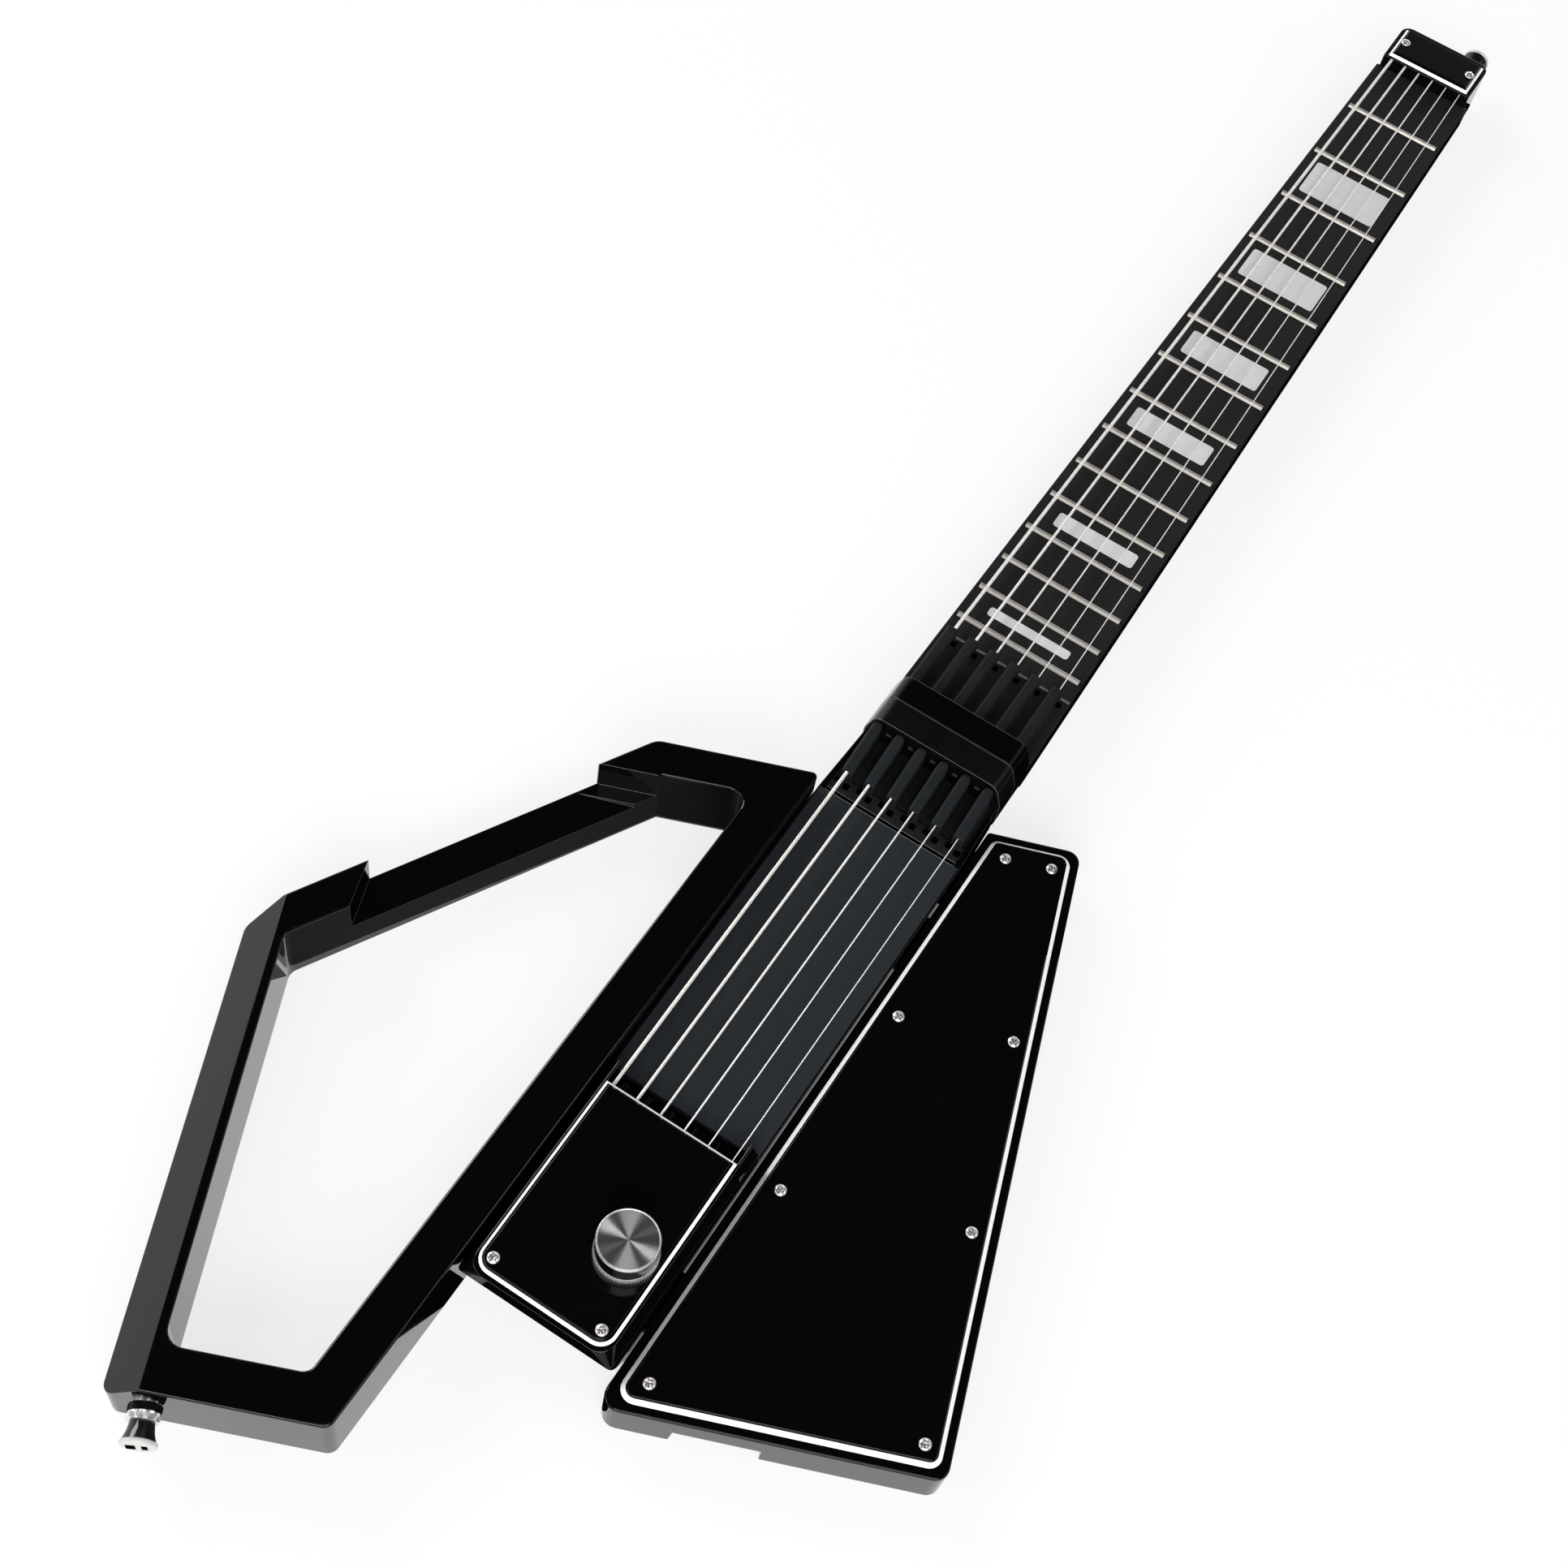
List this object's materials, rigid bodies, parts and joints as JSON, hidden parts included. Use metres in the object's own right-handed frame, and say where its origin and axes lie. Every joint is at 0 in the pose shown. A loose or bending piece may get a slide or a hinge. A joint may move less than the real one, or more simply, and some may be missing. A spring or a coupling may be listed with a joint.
{
  "type": "travel guitar",
  "caption": "Slim travel guitar: fretted neck that pulls out of a narrow body, an open left wing, a wedge right wing, two string sets and one knob.",
  "frame": {"origin": "on the flat back of the body, on the string centreline, under the strummed strings", "axes": "+Y up the neck to the head, +Z out of the fretboard, +X towards the thin strings"},
  "size_m": [0.2863, 0.8163, 0.043],
  "materials": {
    "gloss_black": "polished black",
    "collar_black": "satin black",
    "plate_black": "polished black with a white bevelled ply",
    "board_black": "matte",
    "deck_grey": "fine texture",
    "rubber_grey": "matte",
    "fret_silver": "polished nickel silver",
    "string_steel": "bright",
    "screw_chrome": "bright",
    "knob_aluminium": "spun and polished",
    "circuit_green": "satin",
    "cell_silver": "satin",
    "sensor_grey": "satin"
  },
  "bodies": {
    "body": {"body_shell": "gloss_black", "body_back_cover": "board_black", "strum_deck": "deck_grey", "body_damper": "rubber_grey", "body_collar": "collar_black", "control_plate": "plate_black", "panel_screw_l": "screw_chrome", "panel_screw_r": "screw_chrome", "knob_encoder": "sensor_grey", "main_board": "circuit_green", "battery": "cell_silver", "body_string_1": "string_steel", "body_string_2": "string_steel", "body_string_3": "string_steel", "body_string_4": "string_steel", "body_string_5": "string_steel", "body_string_6": "string_steel"},
    "neck": {"neck_shell": "gloss_black", "fretboard": "board_black", "head_plate": "plate_black", "head_screw_l": "screw_chrome", "head_screw_r": "screw_chrome", "head_strap_button": "screw_chrome", "neck_damper": "rubber_grey", "neck_collar": "gloss_black", "fret_01": "fret_silver", "fret_02": "fret_silver", "fret_03": "fret_silver", "fret_04": "fret_silver", "fret_05": "fret_silver", "fret_06": "fret_silver", "fret_07": "fret_silver", "fret_08": "fret_silver", "fret_09": "fret_silver", "fret_10": "fret_silver", "fret_11": "fret_silver", "fret_12": "fret_silver", "fret_13": "fret_silver", "fret_14": "fret_silver", "fret_15": "fret_silver", "neck_string_1": "string_steel", "neck_string_2": "string_steel", "neck_string_3": "string_steel", "neck_string_4": "string_steel", "neck_string_5": "string_steel", "neck_string_6": "string_steel"},
    "left_wing": {"left_wing_frame": "gloss_black", "wing_strap_button": "screw_chrome"},
    "right_wing": {"right_wing_body": "gloss_black", "right_wing_plate": "plate_black", "wing_screw_1": "screw_chrome", "wing_screw_2": "screw_chrome", "wing_screw_3": "screw_chrome", "wing_screw_4": "screw_chrome", "wing_screw_5": "screw_chrome", "wing_screw_6": "screw_chrome", "wing_screw_7": "screw_chrome", "wing_screw_8": "screw_chrome"},
    "knob": {"knob": "knob_aluminium"}
  },
  "joints": [
    {"name": "neck_slide", "type": "slide", "parent": "body", "child": "neck", "axis": [0, 1, 0], "range_m": [0, 0.04]},
    {"name": "left_wing_slide", "type": "slide", "parent": "body", "child": "left_wing", "axis": [-1, 0, 0], "range_m": [0, 0.012]},
    {"name": "right_wing_slide", "type": "slide", "parent": "body", "child": "right_wing", "axis": [1, 0, 0], "range_m": [0, 0.012]},
    {"name": "knob_turn", "type": "hinge", "parent": "body", "child": "knob", "pos_m": [0.0125, -0.0934, 0.037], "axis": [0, 0, 1], "continuous": true}
  ]
}
